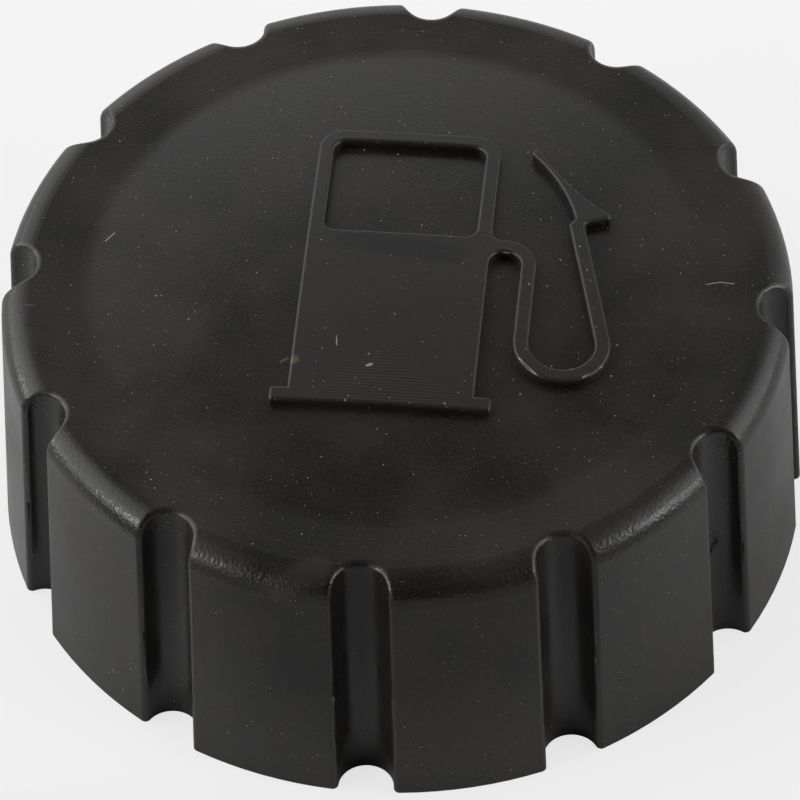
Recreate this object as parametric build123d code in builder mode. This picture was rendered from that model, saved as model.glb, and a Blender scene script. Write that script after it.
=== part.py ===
"""Vented screw cap for the fuel filler neck of a garden or ride-on machine.

The shell is one thick black moulding: a fluted skirt for the hand, a threaded collar inside it for
the neck, and a shallow domed top with a raised fuel pump sign. Under the top sit a flat gasket, a
snap-in splash baffle, a foam filter pad and a rubber vent valve.

The origin is the centre of the mouth, +Z points out of the top, and the sign stands up along +Y.
"""
import os
from math import cos, radians, sin, sqrt, tan

from build123d import *

os.makedirs("parts", exist_ok=True)

# Outside of the shell
cap_height = 31.0
skirt_gap = 7.6
side_draft = 2.3
shoulder_radius = 3.0
skirt_wall = 2.4
deck_thickness = 2.6
mouth_edge_break = 0.15

# Flat rim of the top and the domed disc inside it
rim_width = 8.7
dome_rise = 2.0
crease_blend = 12.0

# Finger flutes: round grooves whose axis lies just inside the lands and leans in with them
flute_count = 12
flute_radius = 2.8
flute_inset_at_mouth = 0.6
flute_inset_at_top = 0.45
flute_edge_round = 0.6

# Threaded collar for the neck
neck_thread_diameter = 57.0
neck_thread_clearance = 0.3
thread_depth = 1.5
thread_pitch = 5.0
thread_ridge_width = 1.7
thread_flank = 20.0
thread_top = 18.5
thread_relief = 0.25
collar_recess = 3.0
collar_wall = 2.2
thread_start_angle = 40.0
air_slot_count = 6
air_slot_width = 4.0
air_slot_angle = 15.0

# Ribs between the collar and the skirt
rib_thickness = 1.6
rib_recess = 7.0

# Snap ring under the top, split into fingers by the vent channels
snap_ring_wall = 1.6
snap_ring_depth = 6.0
snap_bead = 0.3
snap_bead_offset = 1.2
vent_channel_count = 4
vent_channel_width = 2.0
vent_channel_depth = 0.8
vent_channel_angle = 45.0

# Gasket
gasket_thickness = 3.0
gasket_width = 6.35
gasket_side_gap = 0.3

# Splash baffle
baffle_fit_gap = 0.1
baffle_wall = 1.4
baffle_floor = 1.6
baffle_floor_gap = 0.2
baffle_top_gap = 0.5
flange_thickness = 1.5
flange_overlap = 2.0
baffle_edge_round = 0.5
drain_hole_count = 8
drain_hole_radius = 1.0
drain_hole_circle = 13.0

# Vent valve: a rubber umbrella pushed through the middle of the baffle
valve_stem_radius = 1.4
valve_stem_gap = 0.05
valve_head_radius = 6.0
valve_head_rise = 1.3
valve_lip = 0.4
valve_rim = 0.6
valve_hollow = 0.3
valve_bulb_radius = 2.1
valve_bulb_height = 2.8
valve_port_count = 6
valve_port_radius = 0.8
valve_port_circle = 3.7

# Foam filter pad
pad_thickness = 5.0
pad_side_gap = 0.2
pad_hole_gap = 0.8

# Raised fuel pump sign
sign_height = 1.1
sign_edge_round = 0.3
sign_stroke = 1.6
pump_width = 18.7
pump_top = 18.4
pump_foot = -16.4
pump_corner = 2.6
window_height = 12.6
window_corner = 1.3
plinth_width = 22.2
plinth_height = 1.65
plinth_corner = 0.4
notch_width = 3.2
notch_round = 1.55
hose_branch_height = 3.3
hose_turn_radius = 2.37
hose_leg_bottom = -8.7
hose_loop_radius = 4.1
hose_lean = 14.0
hose_fork_round = 1.1
nozzle_neck_height = 7.2
nozzle_inner_bow = 0.65
nozzle_outer_bow = 0.9
nozzle_corner = 0.45

# Corners of the sign's nozzle, measured from the end of the hose
nozzle_heel_inner = (-0.2, 0.8)
nozzle_heel_outer = (3.95, 1.45)
nozzle_tip_inner = (-5.35, 9.4)
nozzle_tip_outer = (-4.8, 10.6)

# Mark left in one flute where the moulding was torn from its feed
gate_flute = -1
gate_height = 14.2
gate_pit_radius = 1.8
gate_pit_depth = 0.35
gate_stub_radius = 0.9
gate_stub_height = 0.5
gate_stub_taper = 25.0

# Sizes that follow from the ones above, from the neck's thread outwards and then inwards
thread_root_radius = neck_thread_diameter / 2 + neck_thread_clearance
thread_crest_radius = thread_root_radius - thread_depth
relief_radius = thread_root_radius + thread_relief
collar_radius = relief_radius + collar_wall
mouth_radius = collar_radius + skirt_gap + skirt_wall
top_radius = mouth_radius - cap_height * tan(radians(side_draft))
dome_radius = top_radius - rim_width
dome_sphere = (dome_radius**2 + dome_rise**2) / (2 * dome_rise)
dome_centre = cap_height + dome_rise - dome_sphere
deck_underside = cap_height - deck_thickness
flute_pitch_angle = 360 / flute_count
flute_foot = mouth_radius - flute_inset_at_mouth
flute_head = top_radius - flute_inset_at_top
gasket_outer = relief_radius - gasket_side_gap
gasket_inner = gasket_outer - gasket_width
gasket_underside = deck_underside - gasket_thickness
baffle_radius = gasket_inner - gasket_side_gap
baffle_bore = baffle_radius - baffle_wall
snap_ring_radius = baffle_bore - baffle_fit_gap
chamber_radius = snap_ring_radius - snap_ring_wall
floor_top = deck_underside - snap_ring_depth - baffle_floor_gap
floor_underside = floor_top - baffle_floor
bead_height = deck_underside - snap_ring_depth + snap_bead_offset


def dome_height(radius, lift=0.0):
    """Height of the domed surface, or of one lifted above it, at a distance from the axis."""
    return dome_centre + sqrt((dome_sphere + lift) ** 2 - radius**2)


def dome_arc(start_radius, end_radius, lift=0.0):
    """Arc of the domed surface, or of one lifted above it, between two distances from the axis."""
    middle = (start_radius + end_radius) / 2
    ThreePointArc(*[(radius, dome_height(radius, lift)) for radius in (start_radius, middle, end_radius)])


def skirt_radius(height, inset=0.0):
    """Radius of the drafted lands at a height, less an inset."""
    return mouth_radius - height * tan(radians(side_draft)) - inset


def flute_cylinders(radius, mode):
    """A ring of leaning cylinders along the axes of the flutes."""
    middle = ((flute_foot + flute_head) / 2, 0, cap_height / 2)
    lean = Plane(origin=middle, x_dir=(0, 1, 0), z_dir=(flute_head - flute_foot, 0, cap_height))
    with PolarLocations(0, flute_count):
        with Locations(lean.location):
            Cylinder(radius, 2 * cap_height, mode=mode)


# Core of the mould: the room between the collar and the skirt, with the flutes and ribs standing in it
with BuildPart() as skirt_core:
    with BuildSketch(Plane.XZ):
        with BuildLine():
            Polyline(
                (0, 0),
                (skirt_radius(0, skirt_wall), 0),
                (skirt_radius(deck_underside, skirt_wall), deck_underside),
                (collar_radius, deck_underside),
                (collar_radius, collar_recess),
                (0, collar_recess),
                close=True,
            )
        make_face()
    revolve(axis=Axis.Z)
    flute_cylinders(flute_radius + skirt_wall, Mode.SUBTRACT)
    rib_height = deck_underside - rib_recess
    with PolarLocations(0, flute_count, start_angle=flute_pitch_angle / 2):
        with Locations(((collar_radius + mouth_radius) / 2, 0, rib_recess)):
            Box(
                mouth_radius - collar_radius + skirt_wall,
                rib_thickness,
                rib_height,
                align=(Align.CENTER, Align.CENTER, Align.MIN),
                mode=Mode.SUBTRACT,
            )


# Fuel pump sign, cut from the space between two domes so that its face follows the disc
with BuildPart() as pump_sign:
    sign_top = dome_height(0) + sign_height
    with BuildSketch(Plane.XY.offset(sign_top)) as sign_outline:
        pump_height = pump_top - pump_foot
        hose_x = pump_width / 2 + notch_width + sign_stroke / 2
        with BuildSketch(mode=Mode.PRIVATE) as pump_body:
            with Locations((0, pump_foot)):
                Rectangle(pump_width, pump_height, align=(Align.CENTER, Align.MIN))
            fillet(pump_body.vertices().group_by(Axis.Y)[-1], pump_corner)
        add(pump_body.sketch)
        with BuildLine():
            branch = Line((0, hose_branch_height), (hose_x - hose_turn_radius, hose_branch_height))
            turn = JernArc(branch @ 1, branch % 1, hose_turn_radius, -90)
            leg = Line(turn @ 1, (hose_x, hose_leg_bottom))
            loop = JernArc(leg @ 1, leg % 1, hose_loop_radius, 180 + hose_lean)
            riser = PolarLine(
                loop @ 1,
                (nozzle_neck_height - (loop @ 1).Y) / cos(radians(hose_lean)),
                direction=loop % 1,
            )
        trace(line_width=sign_stroke)
        hose_end = riser @ 1
        hose_side = (riser % 1).rotate(Axis.Z, 90) * sign_stroke / 2
        heel_inner = hose_end + nozzle_heel_inner
        heel_outer = hose_end + nozzle_heel_outer
        tip_inner = hose_end + nozzle_tip_inner
        tip_outer = hose_end + nozzle_tip_outer
        with BuildLine():
            Polyline(heel_inner, hose_end + hose_side, riser @ 0.9, hose_end - hose_side, heel_outer)
            SagittaArc(heel_outer, tip_outer, nozzle_outer_bow)
            Line(tip_outer, tip_inner)
            SagittaArc(tip_inner, heel_inner, nozzle_inner_bow)
        make_face()
        nozzle_corners = (tip_inner, tip_outer, heel_outer, hose_end - hose_side)
        fillet([sign_outline.vertices().sort_by_distance(c)[0] for c in nozzle_corners], nozzle_corner)
        fork_top = (pump_width / 2, hose_branch_height + sign_stroke / 2)
        fork_underside = (pump_width / 2, hose_branch_height - sign_stroke / 2)
        fillet(sign_outline.vertices().sort_by_distance(fork_top)[0], hose_fork_round)
        fillet(sign_outline.vertices().sort_by_distance(fork_underside)[0], notch_round)
        with Locations((0, pump_foot - plinth_height / 2)):
            RectangleRounded(plinth_width, plinth_height, plinth_corner)
        window_width = pump_width - 2 * sign_stroke
        with Locations((0, pump_top - sign_stroke - window_height / 2)):
            RectangleRounded(window_width, window_height, window_corner, mode=Mode.SUBTRACT)
    extrude(amount=-(sign_height + dome_rise + deck_thickness))

    # Drawn towards the plinth, so that the seam of the domes leaves the sign's face in one piece
    with BuildSketch(Plane(origin=(0, 0, 0), x_dir=(0, -1, 0), z_dir=(-1, 0, 0))):
        sunk = -deck_thickness / 2
        with BuildLine():
            Line((0, dome_height(0, sunk)), (0, dome_height(0, sign_height)))
            dome_arc(0, dome_radius, sign_height)
            Line(
                (dome_radius, dome_height(dome_radius, sign_height)),
                (dome_radius, dome_height(dome_radius, sunk)),
            )
            dome_arc(dome_radius, 0, sunk)
        make_face()
    revolve(axis=Axis.Z, mode=Mode.INTERSECT)
    sign_face = pump_sign.faces().filter_by(GeomType.SPHERE).sort_by(Axis.Z)[-1]
    fillet(sign_face.edges(), sign_edge_round)


# Helical groove that leaves the thread ridge standing in the collar
with BuildPart() as thread_groove:
    groove_start = collar_recess - thread_pitch
    groove_rise = thread_top + thread_pitch - groove_start
    flank_slope = tan(radians(thread_flank))
    groove_half = (thread_pitch - thread_ridge_width) / 2
    groove_inner = thread_crest_radius - 2 * thread_relief
    inner_half = groove_half + (thread_crest_radius - groove_inner) * flank_slope
    root_half = groove_half - thread_depth * flank_slope
    with BuildLine():
        helix = Helix(thread_pitch, groove_rise, thread_crest_radius, center=(0, 0, groove_start))
    with BuildSketch(Plane.XZ):
        with Locations((0, groove_start)):
            with BuildLine():
                Polyline(
                    (groove_inner, -inner_half),
                    (thread_root_radius, -root_half),
                    (thread_root_radius, root_half),
                    (groove_inner, inner_half),
                    close=True,
                )
            make_face()
    sweep(path=helix, is_frenet=True)


# Shell
with BuildPart() as cap_shell:
    with BuildSketch(Plane.XZ) as outside:
        with BuildLine():
            Polyline(
                (0, dome_height(0)),
                (0, 0),
                (mouth_radius, 0),
                (top_radius, cap_height),
                (dome_radius, cap_height),
            )
            dome_arc(dome_radius, 0)
        make_face()
        fillet(outside.vertices().sort_by_distance((top_radius, cap_height))[0], shoulder_radius)
        fillet(outside.vertices().sort_by_distance((dome_radius, cap_height))[0], crease_blend)
    revolve(axis=Axis.Z)
    flute_cylinders(flute_radius, Mode.SUBTRACT)
    flute_edges = cap_shell.edges(Select.LAST).filter_by(lambda edge: edge.center().Z > mouth_edge_break)
    fillet(flute_edges, flute_edge_round)
    fillet(cap_shell.edges().group_by(Axis.Z)[0], mouth_edge_break)
    add(skirt_core.part, mode=Mode.SUBTRACT)

    # Bore of the collar: lead-in, thread crest, relief above the thread and the vaulted vent chamber
    flank_run = relief_radius - thread_crest_radius
    with BuildSketch(Plane.XZ):
        with BuildLine():
            Polyline(
                (0, dome_height(0, -deck_thickness)),
                (0, 0),
                (relief_radius, 0),
                (relief_radius, collar_recess),
                (thread_crest_radius, collar_recess + flank_run),
                (thread_crest_radius, thread_top),
                (relief_radius, thread_top + flank_run),
                (relief_radius, deck_underside),
                (chamber_radius, deck_underside),
                (chamber_radius, dome_height(chamber_radius, -deck_thickness)),
            )
            dome_arc(chamber_radius, 0, -deck_thickness)
        make_face()
    revolve(axis=Axis.Z, mode=Mode.SUBTRACT)
    add(thread_groove.part, rotation=(0, 0, thread_start_angle), mode=Mode.SUBTRACT)
    with PolarLocations(thread_crest_radius, air_slot_count, start_angle=air_slot_angle):
        Box(
            2 * flank_run,
            air_slot_width,
            thread_top + flank_run,
            align=(Align.CENTER, Align.CENTER, Align.MIN),
            mode=Mode.SUBTRACT,
        )

    # Snap ring for the baffle, with a bead near its end, and the vent channels that split it
    with BuildSketch(Plane.XZ):
        with Locations((chamber_radius, deck_underside)):
            Rectangle(snap_ring_wall, snap_ring_depth, align=(Align.MIN, Align.MAX))
        with Locations((snap_ring_radius, bead_height)):
            RegularPolygon(snap_bead, 4)
    revolve(axis=Axis.Z)
    inner_end = chamber_radius - snap_ring_wall
    channel_height = deck_underside + vent_channel_depth - thread_top - flank_run
    channel_length = relief_radius + vent_channel_depth - inner_end
    with PolarLocations(inner_end, vent_channel_count, start_angle=vent_channel_angle):
        with Locations((0, 0, thread_top + flank_run)):
            Box(
                channel_length,
                vent_channel_width,
                channel_height,
                align=(Align.MIN, Align.CENTER, Align.MIN),
                mode=Mode.SUBTRACT,
            )

    # Torn gate in the floor of one flute
    gate_angle = gate_flute * flute_pitch_angle
    gate_radius = flute_foot + (flute_head - flute_foot) * gate_height / cap_height - flute_radius
    outward = Vector(cos(radians(gate_angle)), sin(radians(gate_angle)), 0)
    gate_centre = outward * gate_radius + Vector(0, 0, gate_height)
    pit_floor = Plane(gate_centre, x_dir=(0, 0, 1), z_dir=outward).offset(-gate_pit_depth)
    with BuildSketch(pit_floor):
        Circle(gate_pit_radius)
    extrude(amount=gate_pit_depth + flute_radius, mode=Mode.SUBTRACT)
    with BuildSketch(pit_floor):
        Circle(gate_stub_radius)
    extrude(amount=gate_stub_height, taper=gate_stub_taper)

    add(pump_sign.part)
cap_shell.part.label = "cap_shell"
export_step(cap_shell.part, "parts/cap_shell.step")


# Gasket: a flat ring, cut from sheet, between the top and the rim of the neck
with BuildPart() as sealing_gasket:
    with BuildSketch(Plane.XY.offset(gasket_underside)):
        Circle(gasket_outer)
        Circle(gasket_inner, mode=Mode.SUBTRACT)
    extrude(amount=gasket_thickness)
sealing_gasket.part.label = "sealing_gasket"
export_step(sealing_gasket.part, "parts/sealing_gasket.step")


# Splash baffle: a cup that snaps over the ring, with a flange that holds the gasket up
with BuildPart() as splash_baffle:
    flange_radius = gasket_inner + flange_overlap
    flange_underside = gasket_underside - flange_thickness
    baffle_top = deck_underside - baffle_top_gap
    with BuildSketch(Plane.XZ) as baffle_section:
        with BuildLine():
            Polyline(
                (0, floor_underside),
                (baffle_radius, floor_underside),
                (baffle_radius, flange_underside),
                (flange_radius, flange_underside),
                (flange_radius, gasket_underside),
                (baffle_radius, gasket_underside),
                (baffle_radius, baffle_top),
                (baffle_bore, baffle_top),
                (baffle_bore, floor_top),
                (0, floor_top),
                close=True,
            )
        make_face()
        rim_corners = [(baffle_radius, floor_underside), (flange_radius, flange_underside)]
        fillet([baffle_section.vertices().sort_by_distance(c)[0] for c in rim_corners], baffle_edge_round)
        with Locations((snap_ring_radius, bead_height)):
            RegularPolygon(snap_bead + baffle_fit_gap, 4, mode=Mode.SUBTRACT)
    revolve(axis=Axis.Z)
    with BuildSketch(Plane.XY.offset(floor_underside)):
        Circle(valve_stem_radius + valve_stem_gap)
        with PolarLocations(valve_port_circle, valve_port_count):
            Circle(valve_port_radius)
        with PolarLocations(drain_hole_circle, drain_hole_count):
            Circle(drain_hole_radius)
    extrude(amount=baffle_floor, mode=Mode.SUBTRACT)
splash_baffle.part.label = "splash_baffle"
export_step(splash_baffle.part, "parts/splash_baffle.step")


# Vent valve: the lip lies on the underside of the floor, the bulb holds it from above
with BuildPart() as vent_valve:
    with BuildSketch(Plane.XZ):
        with BuildLine():
            Polyline(
                (0, floor_underside - valve_head_rise),
                (0, floor_top + valve_bulb_height),
                (valve_stem_radius / 2, floor_top + valve_bulb_height),
                (valve_bulb_radius, floor_top + valve_bulb_height / 3),
                (valve_bulb_radius, floor_top),
                (valve_stem_radius, floor_top),
                (valve_stem_radius, floor_underside - valve_hollow),
                (valve_head_radius - valve_rim, floor_underside),
                (valve_head_radius, floor_underside),
                (valve_head_radius, floor_underside - valve_lip),
            )
            TangentArc(
                (0, floor_underside - valve_head_rise),
                (valve_head_radius, floor_underside - valve_lip),
                tangent=(1, 0),
            )
        make_face()
    revolve(axis=Axis.Z)
vent_valve.part.label = "vent_valve"
export_step(vent_valve.part, "parts/vent_valve.step")


# Foam filter pad, lying on the baffle inside the snap ring
with BuildPart() as filter_pad:
    with BuildSketch(Plane.XY.offset(floor_top)):
        Circle(chamber_radius - pad_side_gap)
        Circle(valve_bulb_radius + pad_hole_gap, mode=Mode.SUBTRACT)
    extrude(amount=pad_thickness)
filter_pad.part.label = "filter_pad"
export_step(filter_pad.part, "parts/filter_pad.step")
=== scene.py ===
# Visual model of a vented fuel filler cap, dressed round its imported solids: black moulded shell,
# rubber gasket and valve, acetal splash baffle and foam pad, standing on its mouth on a pale bench.
from math import cos, pi, radians, sin

import bmesh
import bpy
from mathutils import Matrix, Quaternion, Vector, noise


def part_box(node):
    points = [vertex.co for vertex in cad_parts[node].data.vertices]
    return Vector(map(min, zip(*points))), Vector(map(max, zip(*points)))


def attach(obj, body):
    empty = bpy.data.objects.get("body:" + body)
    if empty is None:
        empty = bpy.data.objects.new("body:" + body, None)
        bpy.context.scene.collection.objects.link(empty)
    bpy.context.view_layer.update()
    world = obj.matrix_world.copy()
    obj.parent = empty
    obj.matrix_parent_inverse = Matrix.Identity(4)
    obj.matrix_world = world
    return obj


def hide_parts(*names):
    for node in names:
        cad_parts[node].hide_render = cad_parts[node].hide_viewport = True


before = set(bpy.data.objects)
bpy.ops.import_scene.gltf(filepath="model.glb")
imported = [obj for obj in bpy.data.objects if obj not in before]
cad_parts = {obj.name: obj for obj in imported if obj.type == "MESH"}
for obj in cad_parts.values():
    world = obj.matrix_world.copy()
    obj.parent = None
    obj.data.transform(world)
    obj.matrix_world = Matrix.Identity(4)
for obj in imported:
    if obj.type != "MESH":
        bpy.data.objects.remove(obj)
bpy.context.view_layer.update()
scene = bpy.context.scene
scene.view_settings.view_transform = "Standard"
MM = 0.001


# Camera: the photographer's view, from in front and above, through a long lens that keeps the
# sides of the cap nearly parallel. The angles and the distance were fitted to the cap's outline.
camera_azimuth = radians(6.9)
camera_elevation = radians(49.56)
camera_roll = radians(-2.06)
camera_tilt = radians(-0.135)
camera_distance = 789.8 * MM
camera_focal_length = 346.4
camera_target = Vector((0, 0, 15.5 * MM))


def outward(azimuth, elevation):
    """The direction at an azimuth round the cap from its front, towards the right, and an elevation."""
    return Vector((
        sin(azimuth) * cos(elevation),
        -cos(azimuth) * cos(elevation),
        sin(elevation),
    ))


back = outward(camera_azimuth, camera_elevation)
camera = bpy.data.objects.new("camera", bpy.data.cameras.new("camera"))
camera.data.lens = camera_focal_length
camera.data.clip_end = 10.0
camera.rotation_mode = "QUATERNION"
camera.location = camera_target + back * camera_distance
camera.rotation_quaternion = (
    Quaternion(back, camera_roll) @ back.to_track_quat("Z", "Y") @ Quaternion((1, 0, 0), camera_tilt)
)
scene.collection.objects.link(camera)
scene.camera = camera


# Light tent: a soft box of white cloth round the cap, lit from both sides and from behind, with a
# dark opening for the camera. Its panels are soft-edged patches of the world, brighter or darker
# than the cloth between them, and the black cap shows them as the long tones on its shoulder.
cloth_level = 0.53
tent_panels = (
    # azimuth and elevation of the middle, radius of the even part, width of the fade, level
    ("left side", -96.0, 8.0, 6.0, 66.0, 2.10),
    ("lamp behind on the left", -155.0, 20.0, 2.0, 34.0, 1.15),
    ("right side", 94.0, 14.0, 6.0, 44.0, 1.90),
    ("seam over the back", 186.0, 68.0, 4.0, 32.0, 0.15),
    ("dark ceiling in front", 8.0, 58.0, 14.0, 42.0, 0.06),
    ("opening for the camera", 13.0, 8.0, 31.0, 16.0, 0.0),
)
softbox_distance = 0.8
softboxes = (
    # azimuth and elevation, diameter in metres and power in watts
    ("softbox in front on the left", -58.0, 20.0, 0.25, 0.95),
    ("softbox on the left", -98.0, 9.0, 0.20, 0.38),
    ("softbox on the right", 74.0, 17.0, 0.24, 0.66),
)


def linear(colour):
    """An sRGB hex colour as linear red, green, blue and alpha."""
    channels = [int(colour[i:i + 2], 16) / 255 for i in (1, 3, 5)]
    return [c / 12.92 if c <= 0.04045 else ((c + 0.055) / 1.055) ** 2.4 for c in channels] + [1.0]


def add(tree, kind, inputs=None, **settings):
    """Adds a node with its settings. An input takes a value, or a link from another node's output."""
    node = tree.nodes.new(kind)
    for name, value in settings.items():
        setattr(node, name, value)
    for name, value in (inputs or {}).items():
        if isinstance(value, bpy.types.NodeSocket):
            tree.links.new(value, node.inputs[name])
        else:
            node.inputs[name].default_value = value
    return node


world = bpy.data.worlds.new("light_tent")
world.use_nodes = True
scene.world = world
tree = world.node_tree
tree.nodes.clear()
direction = add(tree, "ShaderNodeTexCoord").outputs["Generated"]
level = cloth_level
for name, azimuth, elevation, even, fade, brightness in tent_panels:
    nearness = add(tree, "ShaderNodeVectorMath", {
        0: direction, 1: outward(radians(azimuth), radians(elevation)),
    }, operation="DOT_PRODUCT", label=name).outputs["Value"]
    share = add(tree, "ShaderNodeMapRange", {
        "Value": nearness,
        "From Min": cos(radians(even + fade)),
        "From Max": cos(radians(even)),
    }, interpolation_type="SMOOTHSTEP").outputs[0]
    level = add(tree, "ShaderNodeMix", {"Factor": share, "A": level, "B": brightness}).outputs[0]
tent = add(tree, "ShaderNodeBackground", {"Color": linear("#ffffff"), "Strength": level}).outputs[0]
backdrop = add(tree, "ShaderNodeBackground", {"Color": linear("#ffffff"), "Strength": 1.0}).outputs[0]
rays = add(tree, "ShaderNodeLightPath").outputs
seen = add(tree, "ShaderNodeMath", {
    0: rays["Is Camera Ray"], 1: rays["Is Transmission Ray"],
}, operation="MAXIMUM").outputs[0]
light = add(tree, "ShaderNodeMixShader", {0: seen, 1: tent, 2: backdrop}).outputs[0]
add(tree, "ShaderNodeOutputWorld", {"Surface": light})

for name, azimuth, elevation, diameter, power in softboxes:
    lamp = bpy.data.lights.new(name, "AREA")
    lamp.shape = "DISK"
    lamp.size = diameter
    lamp.energy = power
    softbox = bpy.data.objects.new(name, lamp)
    aim = outward(radians(azimuth), radians(elevation))
    softbox.location = aim * softbox_distance
    softbox.rotation_mode = "QUATERNION"
    softbox.rotation_quaternion = aim.to_track_quat("Z", "Y")
    softbox.visible_camera = False
    scene.collection.objects.link(softbox)


# Bench: a sheet of white laminate, much wider than the view, so that only the cap's soft shadow
# shows on it. The camera sees it partly overexposed, as a white ground is in a product photograph.
# Its colour darkens towards its front edge, a painted shade, which keeps the cap's near side as dark as
# in the photograph.
bench_half = 3.0
overexposed = 0.74
clean_white = "#f0f0f0"
painted_shade_white = "#aeaeae"
painted_shade_edge = (-37.0 * MM, -57.0 * MM)

bench_mesh = bpy.data.meshes.new("bench")
corners = [(x * bench_half, y * bench_half, 0) for x, y in ((-1, -1), (1, -1), (1, 1), (-1, 1))]
bench_mesh.from_pydata(corners, [], [(0, 1, 2, 3)])
bench = bpy.data.objects.new("bench", bench_mesh)
scene.collection.objects.link(bench)

laminate = bpy.data.materials.new("white_laminate")
laminate.use_nodes = True
tree = laminate.node_tree
tree.nodes.clear()
metres = add(tree, "ShaderNodeTexCoord").outputs["Object"]
forward = add(tree, "ShaderNodeSeparateXYZ", {0: metres}).outputs["Y"]
# Painted shade: the bench's colour darkens from clean white to grey towards its front edge.
painted_shade = add(tree, "ShaderNodeMapRange", {
    "Value": forward, "From Min": painted_shade_edge[0], "From Max": painted_shade_edge[1],
}, interpolation_type="SMOOTHSTEP").outputs[0]
white = add(tree, "ShaderNodeMix", {
    "Factor": painted_shade, 6: linear(clean_white), 7: linear(painted_shade_white),
}, data_type="RGBA").outputs[2]
laminate_sheet = add(tree, "ShaderNodeBsdfDiffuse", {"Color": white}).outputs[0]
glare = add(tree, "ShaderNodeEmission", {"Color": linear("#ffffff"), "Strength": 1.0}).outputs[0]
rays = add(tree, "ShaderNodeLightPath").outputs
seen = add(tree, "ShaderNodeMath", {
    0: rays["Is Camera Ray"], 1: overexposed,
}, operation="MULTIPLY").outputs[0]
surface = add(tree, "ShaderNodeMixShader", {0: seen, 1: laminate_sheet, 2: glare}).outputs[0]
add(tree, "ShaderNodeOutputMaterial", {"Surface": surface})
bench_mesh.materials.append(laminate)


# Shell: one thick moulding of black glass-filled nylon, with fluted grips, a domed top and a raised
# fuel pump sign. It comes from a spark-eroded mould whose sign was cut with a small end mill, and it
# has lived in a yard: dust, hairlines, a brown scuff, and bright rubs on the sign's edges.
shell_black = "#181717"
shell_worn_black = "#23201f"
# The sizes in this material are in millimetres, and those of the form are the solids' own.
patch_size = 14.0
patch_contrast = (0.35, 0.65)
shell_roughness = (0.22, 0.36)

# The real grain of the mould is under 0.1 mm. It is drawn coarser, so that it shows, and it stands
# out on the shoulder, where it breaks up the long highlight. Dust lies in it as a thin film.
grain_size = 0.34
grain_height = (0.005, 0.045)
shoulder_height = 29.1
shoulder_band = (1.9, 0.76)
fine_grain_size = 0.22
fine_grain_height = 0.008
film_contrast = (0.42, 0.75)
film_share = 0.030

# The top was turned in the mould, which left one ring near its edge. The face of the sign is duller
# and greyer than the dome, and the end mill left fine lines in a fan at the foot of the pump.
top_height = 30.0
turned_ring_radius = 35.0
turned_ring_width = 0.35
turned_ring_depth = 0.004
dome_radius = 31.3
dome_drop = 2.1
sign_base = (33.5, 33.8)
sign_reach = 29.0
cut_black = "#252322"
cut_share = 0.7
cut_roughness = 0.38
cutter_pitch = 0.38
cutter_height = 0.0048
cutter_fan_top = -10.2
cutter_fan_base = -17.9
cutter_fan_spread = 1.25
cutter_fan_fade = 1.5

# Hairlines are long thin cells, all in one direction, where the cap was wiped. Dust specks are small
# ragged spots, each in a cell of its own, few of them large and none of the same brightness.
dust_grey = "#a89c84"
hairline_angle = radians(22)
hairline_spacing = (16.0, 0.9, 1.0)
hairline_width = (0.07, 0.02)
hairline_strength = 0.09
dust_spacing = 0.52
dust_radius = 0.10
dust_rarity = 2.2
dust_edge = 0.3
dust_grain_contrast = (0.3, 0.7)
dust_ragged = (-0.05, 0.03)
dust_strength = (0.15, 0.9)

# Single specks, as points, and single marks, as a start, an end and a half width.
speck_grey = "#a5a19b"
speck_radius = 0.13
speck_strength = 0.8
specks = (
    (18.3, 4.1, 33.4), (16.4, 3.0, 32.4), (13.6, -1.6, 33.7), (15.3, -0.7, 32.5), (-3.4, -17.9, 33.4),
    (6.5, -17.6, 33.4), (13.8, -14.8, 32.2), (22.9, -7.4, 31.8), (22.6, -11.4, 31.7), (-4.8, 16.5, 32.4),
    (-1.3, 16.1, 32.5), (-1.4, -13.4, 33.7),
)
mark_edge = (2.0, 0.6)
marks = (
    ("pale scratches and rubs", "#a5a19b", 0.8, (
        ((-1.6, -13.5, 33.7), (-1.2, -13.3, 33.7), 0.11),
        ((-30.0, 3.3, 31.1), (-29.2, 4.4, 31.2), 0.05),
        ((31.2, 2.0, 31.0), (32.6, 2.4, 31.0), 0.04),
        ((32.6, 2.4, 31.0), (34.0, 2.3, 31.0), 0.04),
        ((15.3, 16.8, 33.0), (18.4, 13.6, 33.0), 0.07),
        ((18.6, 13.0, 33.0), (21.2, 9.9, 32.9), 0.07),
        ((13.4, -11.2, 33.4), (15.3, -13.1, 33.2), 0.06),
        ((19.9, -12.8, 32.9), (21.8, -11.0, 32.7), 0.06),
        ((10.7, 2.5, 33.6), (11.5, 2.6, 33.6), 0.06),
        ((-4.9, -11.1, 33.8), (-5.0, -9.9, 33.8), 0.04),
    )),
    ("yellow dirt", "#6d634a", 0.55, (
        ((-4.9, 17.6, 33.2), (-3.4, 17.0, 33.2), 0.16),
        ((18.3, 12.7, 33.0), (19.6, 11.2, 33.0), 0.28),
        ((-9.1, -13.2, 33.6), (-9.0, -13.1, 33.6), 0.35),
    )),
    ("rusty flecks", "#7d4b24", 0.85, (
        ((-10.4, -12.6, 32.5), (-9.8, -12.1, 32.5), 0.11),
        ((-37.1, -5.7, 31.0), (-36.3, -5.7, 31.0), 0.05),
    )),
    ("brown scuff and streaks", "#3f3731", 0.5, (
        ((-8.0, -38.9, 29.2), (-4.4, -37.6, 30.9), 1.1),
        ((24.3, -32.3, 20.8), (25.1, -31.7, 19.4), 0.16),
        ((27.2, -30.2, 15.8), (27.5, -30.1, 12.5), 0.16),
    )),
    # A band of near-black colour on the sign below the window.
    ("darker band below the window", "#0e0e0e", 0.5, (
        ((-5.4, 2.7, 34.0), (5.6, 1.6, 34.0), 0.9),
    )),
)

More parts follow.
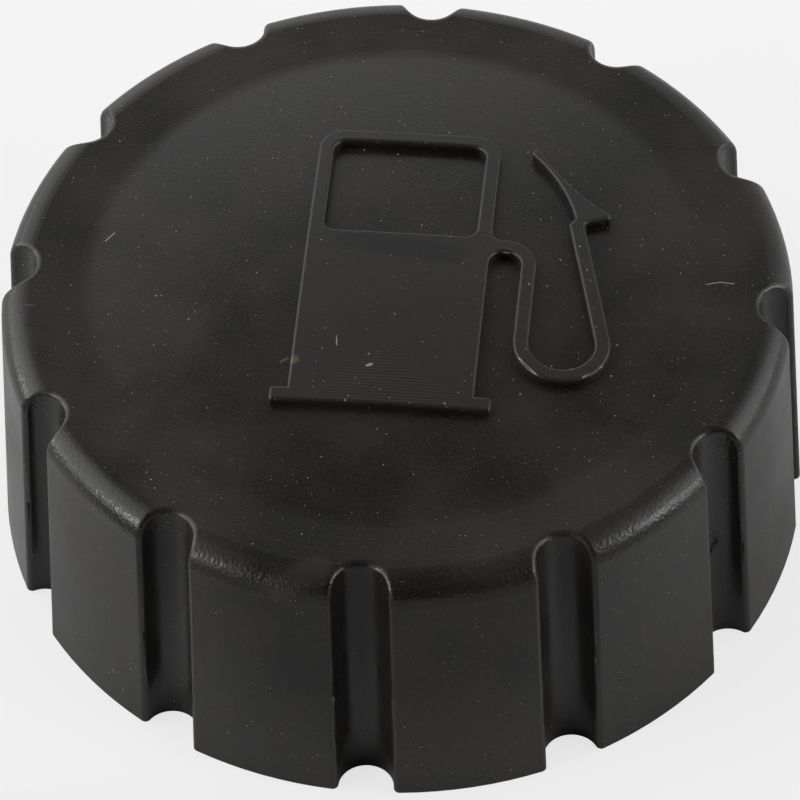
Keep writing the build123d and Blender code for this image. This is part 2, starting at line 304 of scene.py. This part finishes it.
near_mark = bpy.data.node_groups.new("near_mark", "ShaderNodeTree")
for name in ("Place", "Start", "End"):
    near_mark.interface.new_socket(name, in_out="INPUT", socket_type="NodeSocketVector")
near_mark.interface.new_socket("Half Width", in_out="INPUT", socket_type="NodeSocketFloat")
near_mark.interface.new_socket("Widths Away", in_out="OUTPUT", socket_type="NodeSocketFloat")
given = add(near_mark, "NodeGroupInput").outputs
run = add(near_mark, "ShaderNodeVectorMath", {
    0: given["End"], 1: given["Start"],
}, operation="SUBTRACT").outputs[0]
reach = add(near_mark, "ShaderNodeVectorMath", {
    0: given["Place"], 1: given["Start"],
}, operation="SUBTRACT").outputs[0]
along = add(near_mark, "ShaderNodeVectorMath", {0: reach, 1: run}, operation="DOT_PRODUCT")
whole = add(near_mark, "ShaderNodeVectorMath", {0: run, 1: run}, operation="DOT_PRODUCT")
part = add(near_mark, "ShaderNodeMath", {
    0: along.outputs["Value"], 1: whole.outputs["Value"],
}, operation="DIVIDE", use_clamp=True).outputs[0]
foot = add(near_mark, "ShaderNodeVectorMath", {0: run, "Scale": part}, operation="SCALE").outputs[0]
aside = add(near_mark, "ShaderNodeVectorMath", {0: reach, 1: foot}, operation="DISTANCE")
widths = add(near_mark, "ShaderNodeMath", {
    0: aside.outputs["Value"], 1: given["Half Width"],
}, operation="DIVIDE").outputs[0]
add(near_mark, "NodeGroupOutput", {"Widths Away": widths})

nylon = bpy.data.materials.new("moulded_black_nylon")
nylon.use_nodes = True
tree = nylon.node_tree
tree.nodes.clear()
metres = add(tree, "ShaderNodeTexCoord").outputs["Object"]
place = add(tree, "ShaderNodeVectorMath", {0: metres, "Scale": 1 / MM}, operation="SCALE").outputs[0]
axes = add(tree, "ShaderNodeSeparateXYZ", {0: place}).outputs
flat = add(tree, "ShaderNodeCombineXYZ", {"X": axes["X"], "Y": axes["Y"]}).outputs[0]
radius = add(tree, "ShaderNodeVectorMath", {0: flat}, operation="LENGTH").outputs["Value"]
patches = add(tree, "ShaderNodeTexNoise", {
    "Vector": place, "Scale": 1 / patch_size, "Detail": 2.0, "Roughness": 0.6,
}).outputs[0]
patches = add(tree, "ShaderNodeMapRange", {
    "Value": patches, "From Min": patch_contrast[0], "From Max": patch_contrast[1],
}).outputs[0]
colour = add(tree, "ShaderNodeMix", {
    "Factor": patches, 6: linear(shell_black), 7: linear(shell_worn_black),
}, data_type="RGBA").outputs[2]
roughness = add(tree, "ShaderNodeMapRange", {
    "Value": patches, "To Min": shell_roughness[0], "To Max": shell_roughness[1],
}).outputs[0]

grain = add(tree, "ShaderNodeTexNoise", {
    "Vector": place, "Scale": 1 / grain_size, "Detail": 0.0,
}).outputs[0]
fine_grain = add(tree, "ShaderNodeTexNoise", {
    "Vector": place, "Scale": 1 / fine_grain_size, "Detail": 0.0,
}).outputs[0]
off_shoulder = add(tree, "ShaderNodeMath", {
    0: axes["Z"], 1: shoulder_height,
}, operation="SUBTRACT").outputs[0]
off_shoulder = add(tree, "ShaderNodeMath", {0: off_shoulder}, operation="ABSOLUTE").outputs[0]
coarseness = add(tree, "ShaderNodeMapRange", {
    "Value": off_shoulder,
    "From Min": shoulder_band[0], "To Min": grain_height[0],
    "From Max": shoulder_band[1], "To Max": grain_height[1],
}).outputs[0]
height = add(tree, "ShaderNodeMath", {0: grain, 1: coarseness}, operation="MULTIPLY").outputs[0]
height = add(tree, "ShaderNodeMath", {
    0: fine_grain, 1: fine_grain_height, 2: height,
}, operation="MULTIPLY_ADD").outputs[0]
film = add(tree, "ShaderNodeMapRange", {
    "Value": fine_grain, "From Min": film_contrast[0], "From Max": film_contrast[1], "To Max": film_share,
}).outputs[0]
colour = add(tree, "ShaderNodeMix", {
    "Factor": film, 6: colour, 7: linear(dust_grey),
}, data_type="RGBA").outputs[2]

on_top = add(tree, "ShaderNodeMath", {0: axes["Z"], 1: top_height}, operation="GREATER_THAN").outputs[0]
ring = add(tree, "ShaderNodeMath", {
    0: radius, 1: turned_ring_radius, 2: turned_ring_width,
}, operation="COMPARE").outputs[0]
ring = add(tree, "ShaderNodeMath", {0: ring, 1: on_top}, operation="MULTIPLY").outputs[0]
height = add(tree, "ShaderNodeMath", {
    0: ring, 1: -turned_ring_depth, 2: height,
}, operation="MULTIPLY_ADD").outputs[0]

over_dome = add(tree, "ShaderNodeMath", {0: radius, 1: radius}, operation="MULTIPLY").outputs[0]
over_dome = add(tree, "ShaderNodeMath", {
    0: over_dome, 1: dome_drop / dome_radius**2, 2: axes["Z"],
}, operation="MULTIPLY_ADD").outputs[0]
raised = add(tree, "ShaderNodeMapRange", {
    "Value": over_dome, "From Min": sign_base[0], "From Max": sign_base[1],
}).outputs[0]
on_dome = add(tree, "ShaderNodeMath", {0: radius, 1: sign_reach}, operation="LESS_THAN").outputs[0]
raised = add(tree, "ShaderNodeMath", {0: raised, 1: on_dome}, operation="MULTIPLY").outputs[0]
roughness = add(tree, "ShaderNodeMix", {"Factor": raised, "A": roughness, "B": cut_roughness}).outputs[0]
greyed = add(tree, "ShaderNodeMath", {0: raised, 1: cut_share}, operation="MULTIPLY").outputs[0]
colour = add(tree, "ShaderNodeMix", {
    "Factor": greyed, 6: colour, 7: linear(cut_black),
}, data_type="RGBA").outputs[2]

fan_width = add(tree, "ShaderNodeMapRange", {
    "Value": axes["Y"],
    "From Min": cutter_fan_base, "To Min": (cutter_fan_top - cutter_fan_base) * cutter_fan_spread,
    "From Max": cutter_fan_top, "To Max": 0.0,
}, clamp=False).outputs[0]
off_axis = add(tree, "ShaderNodeMath", {0: axes["X"]}, operation="ABSOLUTE").outputs[0]
fan = add(tree, "ShaderNodeMath", {0: fan_width, 1: off_axis}, operation="SUBTRACT").outputs[0]
fan = add(tree, "ShaderNodeMapRange", {"Value": fan, "From Max": cutter_fan_fade}).outputs[0]
above_base = add(tree, "ShaderNodeMath", {
    0: axes["Y"], 1: cutter_fan_base,
}, operation="GREATER_THAN").outputs[0]
fan = add(tree, "ShaderNodeMath", {0: fan, 1: above_base}, operation="MULTIPLY").outputs[0]
fan = add(tree, "ShaderNodeMath", {0: fan, 1: raised}, operation="MULTIPLY").outputs[0]
cutter = add(tree, "ShaderNodeMath", {
    0: axes["Y"], 1: 2 * pi / cutter_pitch,
}, operation="MULTIPLY").outputs[0]
cutter = add(tree, "ShaderNodeMath", {0: cutter}, operation="SINE").outputs[0]
cutter = add(tree, "ShaderNodeMath", {0: cutter, 1: fan}, operation="MULTIPLY").outputs[0]
height = add(tree, "ShaderNodeMath", {
    0: cutter, 1: cutter_height, 2: height,
}, operation="MULTIPLY_ADD").outputs[0]

turned = add(tree, "ShaderNodeVectorRotate", {
    "Vector": place, "Angle": hairline_angle,
}, rotation_type="Z_AXIS").outputs[0]
turned = add(tree, "ShaderNodeVectorMath", {
    0: turned, 1: hairline_spacing,
}, operation="DIVIDE").outputs[0]
needle = add(tree, "ShaderNodeTexVoronoi", {
    "Vector": turned, "Scale": 1.0,
}, voronoi_dimensions="2D").outputs["Distance"]
needle = add(tree, "ShaderNodeMapRange", {
    "Value": needle, "From Min": hairline_width[0], "From Max": hairline_width[1],
}).outputs[0]
scratched = add(tree, "ShaderNodeMath", {0: needle, 1: on_top}, operation="MULTIPLY").outputs[0]
scratched = add(tree, "ShaderNodeMath", {0: scratched, 1: patches}, operation="MULTIPLY").outputs[0]
scratched = add(tree, "ShaderNodeMath", {
    0: scratched, 1: hairline_strength,
}, operation="MULTIPLY").outputs[0]
colour = add(tree, "ShaderNodeMix", {
    "Factor": scratched, 6: colour, 7: linear(dust_grey),
}, data_type="RGBA").outputs[2]

dust_cell = add(tree, "ShaderNodeTexVoronoi", {"Vector": place, "Scale": 1 / dust_spacing}).outputs
chances = add(tree, "ShaderNodeSeparateColor", {0: dust_cell["Color"]}).outputs
chance = add(tree, "ShaderNodeMath", {0: chances[0], 1: dust_rarity}, operation="POWER").outputs[0]
ragged = add(tree, "ShaderNodeMapRange", {
    "Value": fine_grain,
    "From Min": dust_grain_contrast[0], "To Min": dust_ragged[0],
    "From Max": dust_grain_contrast[1], "To Max": dust_ragged[1],
}).outputs[0]
size = add(tree, "ShaderNodeMath", {
    0: chance, 1: dust_radius / dust_spacing, 2: ragged,
}, operation="MULTIPLY_ADD").outputs[0]
dust = add(tree, "ShaderNodeMath", {0: size, 1: dust_cell["Distance"]}, operation="SUBTRACT").outputs[0]
brightness = add(tree, "ShaderNodeMapRange", {
    "Value": chances[1], "To Min": dust_strength[0], "To Max": dust_strength[1],
}).outputs[0]
dust = add(tree, "ShaderNodeMapRange", {
    "Value": dust, "From Max": dust_edge * dust_radius / dust_spacing, "To Max": brightness,
}).outputs[0]
colour = add(tree, "ShaderNodeMix", {
    "Factor": dust, 6: colour, 7: linear(dust_grey),
}, data_type="RGBA").outputs[2]

nearest = speck_radius
for speck in specks:
    away = add(tree, "ShaderNodeVectorMath", {0: place, 1: speck}, operation="DISTANCE").outputs["Value"]
    nearest = add(tree, "ShaderNodeMath", {0: away, 1: nearest}, operation="MINIMUM").outputs[0]
share = add(tree, "ShaderNodeMapRange", {
    "Value": nearest, "From Min": speck_radius, "From Max": 0.5 * speck_radius, "To Max": speck_strength,
}).outputs[0]
colour = add(tree, "ShaderNodeMix", {
    "Factor": share, 6: colour, 7: linear(speck_grey),
}, data_type="RGBA").outputs[2]

for name, mark_colour, strength, places in marks:
    nearest = mark_edge[0]
    for start, end, half_width in places:
        away = add(tree, "ShaderNodeGroup", {
            "Place": place, "Start": start, "End": end, "Half Width": half_width,
        }, node_tree=near_mark).outputs["Widths Away"]
        nearest = add(tree, "ShaderNodeMath", {0: away, 1: nearest}, operation="MINIMUM").outputs[0]
    share = add(tree, "ShaderNodeMapRange", {
        "Value": nearest, "From Min": mark_edge[0], "From Max": mark_edge[1], "To Max": strength,
    }, interpolation_type="SMOOTHSTEP", label=name).outputs[0]
    colour = add(tree, "ShaderNodeMix", {
        "Factor": share, 6: colour, 7: linear(mark_colour),
    }, data_type="RGBA").outputs[2]

bump = add(tree, "ShaderNodeBump", {"Height": height, "Distance": MM}).outputs[0]
surface = add(tree, "ShaderNodeBsdfPrincipled", {
    "Base Color": colour, "Roughness": roughness, "IOR": 1.5, "Normal": bump,
}).outputs[0]
add(tree, "ShaderNodeOutputMaterial", {"Surface": surface})
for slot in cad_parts["cap_shell"].material_slots:
    slot.material = nylon


# Gate scar: where the shell was torn from its feed when it left the mould, low in one flute on the
# right. The tear left a ragged nub in a shallow dish with a lip of dragged plastic round it.
flute_radius = 2.8
flute_angle = radians(-30.0)
flute_floor = 37.35
flute_lean = 0.0353
scar_height = 14.2
scar_profile = (
    # distance from the middle, and height over the flute's floor
    (0.0, 0.26), (0.35, 0.28), (0.6, 0.22), (0.8, 0.18), (0.95, -0.02), (1.15, -0.24), (1.4, -0.26),
    (1.6, -0.12), (1.75, 0.08), (1.86, 0.15), (1.98, 0.08), (2.1, -0.03),
    (2.0, -0.4), (1.0, -0.6), (0.0, -0.6),
)
scar_radius = 2.1
scar_root = -0.3
scar_steps = 60
tear_depth = 0.16
tear_size = 0.45

scar_out = Vector((cos(flute_angle), sin(flute_angle), 0))
scar_side = Vector((-sin(flute_angle), cos(flute_angle), 0))
scar_up = Vector((0, 0, 1)) - flute_lean * scar_out
scar_middle = flute_floor * scar_out + Vector((0, 0, scar_height))
scar_form = bmesh.new()
rings = []
for distance, rise in scar_profile:
    steps = scar_steps if distance else 1
    ring = []
    for step in range(steps):
        turn = 2 * pi * step / steps
        aside = distance * sin(turn)
        hollow = flute_radius - (flute_radius**2 - aside**2) ** 0.5
        spot = scar_middle + scar_side * aside + scar_up * distance * cos(turn)
        torn = 0
        if rise > scar_root and distance < scar_radius:
            torn = noise.noise(spot / tear_size) * tear_depth
        ring.append(scar_form.verts.new((spot + scar_out * (hollow + rise + torn)) * MM))
    rings.append(ring)
for inner, outer in zip(rings, rings[1:]):
    for step in range(scar_steps):
        ahead = (step + 1) % scar_steps
        corners = [
            inner[step % len(inner)], outer[step % len(outer)],
            outer[ahead % len(outer)], inner[ahead % len(inner)],
        ]
        scar_form.faces.new(list(dict.fromkeys(corners)))
bmesh.ops.recalc_face_normals(scar_form, faces=scar_form.faces)
for face in scar_form.faces:
    face.smooth = True
scar_mesh = bpy.data.meshes.new("gate_scar")
scar_form.to_mesh(scar_mesh)
scar_form.free()
scar_mesh.materials.append(nylon)
scar = bpy.data.objects.new("gate_scar", scar_mesh)
scene.collection.objects.link(scar)
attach(scar, "root")


# Gasket: a flat ring punched from black nitrile rubber sheet, pressed up under the shell's crown. It
# is matt, with a little white talc left in its pores, and the tank's neck has rubbed a shiny track.
rubber_black = "#171718"
talc_grey = "#4d4c4a"
talc_grain = 0.25
talc_contrast = (0.52, 0.80)
pore_depth = 0.02
track_inset = 2.8
track_half_width = 1.2
gasket_roughness = 0.68
track_roughness = 0.42

track_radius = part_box("sealing_gasket")[1][0] / MM - track_inset
rubber = bpy.data.materials.new("punched_nitrile_rubber")
rubber.use_nodes = True
tree = rubber.node_tree
tree.nodes.clear()
metres = add(tree, "ShaderNodeTexCoord").outputs["Object"]
place = add(tree, "ShaderNodeVectorMath", {0: metres, "Scale": 1 / MM}, operation="SCALE").outputs[0]
axes = add(tree, "ShaderNodeSeparateXYZ", {0: place}).outputs
flat = add(tree, "ShaderNodeCombineXYZ", {"X": axes["X"], "Y": axes["Y"]}).outputs[0]
radius = add(tree, "ShaderNodeVectorMath", {0: flat}, operation="LENGTH").outputs["Value"]
off_track = add(tree, "ShaderNodeMath", {0: radius, 1: track_radius}, operation="SUBTRACT").outputs[0]
off_track = add(tree, "ShaderNodeMath", {0: off_track}, operation="ABSOLUTE").outputs[0]
track = add(tree, "ShaderNodeMapRange", {
    "Value": off_track, "From Min": track_half_width, "From Max": 0.5 * track_half_width,
}, interpolation_type="SMOOTHSTEP").outputs[0]
talc = add(tree, "ShaderNodeTexNoise", {
    "Vector": place, "Scale": 1 / talc_grain, "Detail": 3.0,
}).outputs[0]
powder = add(tree, "ShaderNodeMapRange", {
    "Value": talc, "From Min": talc_contrast[0], "From Max": talc_contrast[1],
}).outputs[0]
powder = add(tree, "ShaderNodeMix", {"Factor": track, "A": powder, "B": 0.0}).outputs[0]
colour = add(tree, "ShaderNodeMix", {
    "Factor": powder, 6: linear(rubber_black), 7: linear(talc_grey),
}, data_type="RGBA").outputs[2]
roughness = add(tree, "ShaderNodeMapRange", {
    "Value": track, "To Min": gasket_roughness, "To Max": track_roughness,
}).outputs[0]
bump = add(tree, "ShaderNodeBump", {"Height": talc, "Distance": pore_depth * MM}).outputs[0]
surface = add(tree, "ShaderNodeBsdfPrincipled", {
    "Base Color": colour, "Roughness": roughness, "IOR": 1.52, "Normal": bump,
}).outputs[0]
add(tree, "ShaderNodeOutputMaterial", {"Surface": surface})
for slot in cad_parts["sealing_gasket"].material_slots:
    slot.material = rubber


# Splash baffle: a cup moulded in natural acetal and snapped into the shell, which keeps the fuel off
# the vent. Acetal is a milky, waxy white, a little see-through, and fuel has yellowed its middle.
acetal_white = "#d9d4c4"
acetal_stain = "#b79c62"
stain_radius = (15.0, 2.0)
flow_length = 9.0
acetal_roughness = (0.28, 0.50)
orange_peel_size = 0.8
orange_peel_depth = 0.012
see_through = 0.8

acetal = bpy.data.materials.new("moulded_natural_acetal")
acetal.use_nodes = True
tree = acetal.node_tree
tree.nodes.clear()
metres = add(tree, "ShaderNodeTexCoord").outputs["Object"]
place = add(tree, "ShaderNodeVectorMath", {0: metres, "Scale": 1 / MM}, operation="SCALE").outputs[0]
axes = add(tree, "ShaderNodeSeparateXYZ", {0: place}).outputs
flat = add(tree, "ShaderNodeCombineXYZ", {"X": axes["X"], "Y": axes["Y"]}).outputs[0]
radius = add(tree, "ShaderNodeVectorMath", {0: flat}, operation="LENGTH").outputs["Value"]
flow = add(tree, "ShaderNodeTexNoise", {
    "Vector": place, "Scale": 1 / flow_length, "Detail": 5.0,
}).outputs[0]
stain = add(tree, "ShaderNodeMapRange", {
    "Value": radius, "From Min": stain_radius[0], "From Max": stain_radius[1],
}, interpolation_type="SMOOTHSTEP").outputs[0]
stain = add(tree, "ShaderNodeMath", {0: stain, 1: flow}, operation="MULTIPLY").outputs[0]
colour = add(tree, "ShaderNodeMix", {
    "Factor": stain, 6: linear(acetal_white), 7: linear(acetal_stain),
}, data_type="RGBA").outputs[2]
roughness = add(tree, "ShaderNodeMapRange", {
    "Value": flow, "To Min": acetal_roughness[0], "To Max": acetal_roughness[1],
}).outputs[0]
orange_peel = add(tree, "ShaderNodeTexNoise", {
    "Vector": place, "Scale": 1 / orange_peel_size, "Detail": 2.0,
}).outputs[0]
bump = add(tree, "ShaderNodeBump", {"Height": orange_peel, "Distance": orange_peel_depth * MM}).outputs[0]
surface = add(tree, "ShaderNodeBsdfPrincipled", {
    "Base Color": colour, "Roughness": roughness, "IOR": 1.48, "Normal": bump,
    "Subsurface Weight": 0.2, "Subsurface Radius": (1.0, 0.9, 0.7), "Subsurface Scale": see_through * MM,
}).outputs[0]
add(tree, "ShaderNodeOutputMaterial", {"Surface": surface})
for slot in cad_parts["splash_baffle"].material_slots:
    slot.material = acetal


# Vent valve: an umbrella moulded in fluorocarbon rubber and pushed through the baffle by its stem. It
# is smoother and shinier than the gasket, brownish black, with a matt bloom where fuel dries on it.
valve_black = "#1d1a19"
valve_bloom = "#34302d"
bloom_size = 1.6
bloom_contrast = (0.45, 0.7)
valve_roughness = (0.32, 0.6)

valve_rubber = bpy.data.materials.new("moulded_fluorocarbon_rubber")
valve_rubber.use_nodes = True
tree = valve_rubber.node_tree
tree.nodes.clear()
metres = add(tree, "ShaderNodeTexCoord").outputs["Object"]
place = add(tree, "ShaderNodeVectorMath", {0: metres, "Scale": 1 / MM}, operation="SCALE").outputs[0]
bloom = add(tree, "ShaderNodeTexNoise", {
    "Vector": place, "Scale": 1 / bloom_size, "Detail": 5.0,
}).outputs[0]
bloom = add(tree, "ShaderNodeMapRange", {
    "Value": bloom, "From Min": bloom_contrast[0], "From Max": bloom_contrast[1],
}).outputs[0]
colour = add(tree, "ShaderNodeMix", {
    "Factor": bloom, 6: linear(valve_black), 7: linear(valve_bloom),
}, data_type="RGBA").outputs[2]
roughness = add(tree, "ShaderNodeMapRange", {
    "Value": bloom, "To Min": valve_roughness[0], "To Max": valve_roughness[1],
}).outputs[0]
surface = add(tree, "ShaderNodeBsdfPrincipled", {
    "Base Color": colour, "Roughness": roughness, "IOR": 1.45,
}).outputs[0]
add(tree, "ShaderNodeOutputMaterial", {"Surface": surface})
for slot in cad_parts["vent_valve"].material_slots:
    slot.material = valve_rubber


# Filter pad: a ring cut from charcoal-grey reticulated foam and laid in the chamber above the baffle,
# where it holds back drops and dust. Its cut faces are open cells, about a millimetre across.
pad_low, pad_high = (Vector(corner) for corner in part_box("filter_pad"))
pad_bore_radius = 2.9 * MM
cell_size = 1.15 * MM
cell_depth = 0.55 * MM
cell_edge = (0.62, 0.22)
cell_turn = (0.3, 1.1, 0.7)
facet_size = 0.36 * MM

carve = bpy.data.node_groups.new("cut_foam_ring", "GeometryNodeTree")
carve.interface.new_socket("Geometry", in_out="OUTPUT", socket_type="NodeSocketGeometry")
foam_sizes = {
    "Middle Radius": (pad_high.x + pad_bore_radius) / 2,
    "Wall Width": pad_high.x - pad_bore_radius,
    "Thickness": pad_high.z - pad_low.z,
    "Middle Height": (pad_high.z + pad_low.z) / 2,
    "Cell Size": cell_size,
    "Cell Depth": cell_depth,
    "Facet Size": facet_size,
}
foam_counts = {"Facets Round": round(2 * pi * pad_high.x / facet_size)}
for name in foam_sizes:
    carve.interface.new_socket(name, in_out="INPUT", socket_type="NodeSocketFloat")
for name in foam_counts:
    carve.interface.new_socket(name, in_out="INPUT", socket_type="NodeSocketInt")
carve.interface.new_socket("Material", in_out="INPUT", socket_type="NodeSocketMaterial")
given = add(carve, "NodeGroupInput").outputs
circle = add(carve, "GeometryNodeCurvePrimitiveCircle", {
    "Resolution": given["Facets Round"], "Radius": given["Middle Radius"],
}, mode="RADIUS").outputs[0]
section = add(carve, "GeometryNodeCurvePrimitiveQuadrilateral", {
    "Width": given["Wall Width"], "Height": given["Thickness"],
}, mode="RECTANGLE").outputs[0]
section = add(carve, "GeometryNodeResampleCurve", {
    "Curve": section, "Length": given["Facet Size"],
}, mode="LENGTH").outputs[0]
ring = add(carve, "GeometryNodeCurveToMesh", {"Curve": circle, "Profile Curve": section}).outputs[0]
lift = add(carve, "ShaderNodeCombineXYZ", {"Z": given["Middle Height"]}).outputs[0]
ring = add(carve, "GeometryNodeTransform", {"Geometry": ring, "Translation": lift}).outputs[0]
cells = add(carve, "ShaderNodeMath", {0: 1.0, 1: given["Cell Size"]}, operation="DIVIDE").outputs[0]
turned = add(carve, "ShaderNodeVectorRotate", {
    "Vector": add(carve, "GeometryNodeInputPosition").outputs[0], "Rotation": cell_turn,
}, rotation_type="EULER_XYZ").outputs[0]
nearest = add(carve, "ShaderNodeTexVoronoi", {"Vector": turned, "Scale": cells}).outputs["Distance"]
open_cell = add(carve, "ShaderNodeMapRange", {
    "Value": nearest, "From Min": cell_edge[0], "From Max": cell_edge[1],
}, interpolation_type="SMOOTHSTEP").outputs[0]
ring = add(carve, "GeometryNodeStoreNamedAttribute", {
    "Geometry": ring, "Name": "cell", "Value": open_cell,
}, data_type="FLOAT", domain="POINT").outputs[0]
depth = add(carve, "ShaderNodeMath", {
    0: open_cell, 1: given["Cell Depth"],
}, operation="MULTIPLY").outputs[0]
depth = add(carve, "ShaderNodeMath", {0: depth, 1: -1.0}, operation="MULTIPLY").outputs[0]
push = add(carve, "ShaderNodeVectorMath", {
    0: add(carve, "GeometryNodeInputNormal").outputs[0], "Scale": depth,
}, operation="SCALE").outputs[0]
ring = add(carve, "GeometryNodeSetPosition", {"Geometry": ring, "Offset": push}).outputs[0]
ring = add(carve, "GeometryNodeRealizeInstances", {0: ring}).outputs[0]
ring = add(carve, "GeometryNodeSetMaterial", {"Geometry": ring, "Material": given["Material"]}).outputs[0]
add(carve, "NodeGroupOutput", {"Geometry": ring})

# Foam is matt charcoal with a soft sheen on its struts and browned by dust; down in its cells its colour
# is darkened to black, a painted shade.
strut_grey = "#2b2b2c"
strut_dusty = "#3c3a38"
painted_cell_shade = "#121212"
dusty_patch_size = 3.0

foam = bpy.data.materials.new("reticulated_charcoal_foam")
foam.use_nodes = True
tree = foam.node_tree
tree.nodes.clear()
metres = add(tree, "ShaderNodeTexCoord").outputs["Object"]
cell = add(tree, "ShaderNodeAttribute", attribute_name="cell").outputs["Fac"]
dusty = add(tree, "ShaderNodeTexNoise", {
    "Vector": metres, "Scale": 1 / (dusty_patch_size * MM), "Detail": 4.0,
}).outputs[0]
strut = add(tree, "ShaderNodeMix", {
    "Factor": dusty, 6: linear(strut_grey), 7: linear(strut_dusty),
}, data_type="RGBA").outputs[2]
# Painted shade: the colour goes black where the cells open, down in the foam's hollows.
colour = add(tree, "ShaderNodeMix", {
    "Factor": cell, 6: strut, 7: linear(painted_cell_shade),
}, data_type="RGBA").outputs[2]
surface = add(tree, "ShaderNodeBsdfPrincipled", {
    "Base Color": colour, "Roughness": 0.85, "Sheen Weight": 0.3, "Sheen Roughness": 0.6,
}).outputs[0]
add(tree, "ShaderNodeOutputMaterial", {"Surface": surface})

seed_mesh = bpy.data.meshes.new("foam_seed")
seed = bpy.data.objects.new("foam_seed", seed_mesh)
scene.collection.objects.link(seed)
carving = seed.modifiers.new("cut_foam_ring", "NODES")
carving.node_group = carve
foam_inputs = {**foam_sizes, **foam_counts, "Material": foam}
for item in carve.interface.items_tree:
    if item.in_out == "INPUT":
        carving[item.identifier] = foam_inputs[item.name]
bpy.context.view_layer.update()
grown = seed.evaluated_get(bpy.context.evaluated_depsgraph_get())
pad_mesh = bpy.data.meshes.new_from_object(grown)
bpy.data.objects.remove(seed)
pad = bpy.data.objects.new("foam_pad", pad_mesh)
scene.collection.objects.link(pad)
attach(pad, "root")
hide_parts("filter_pad")
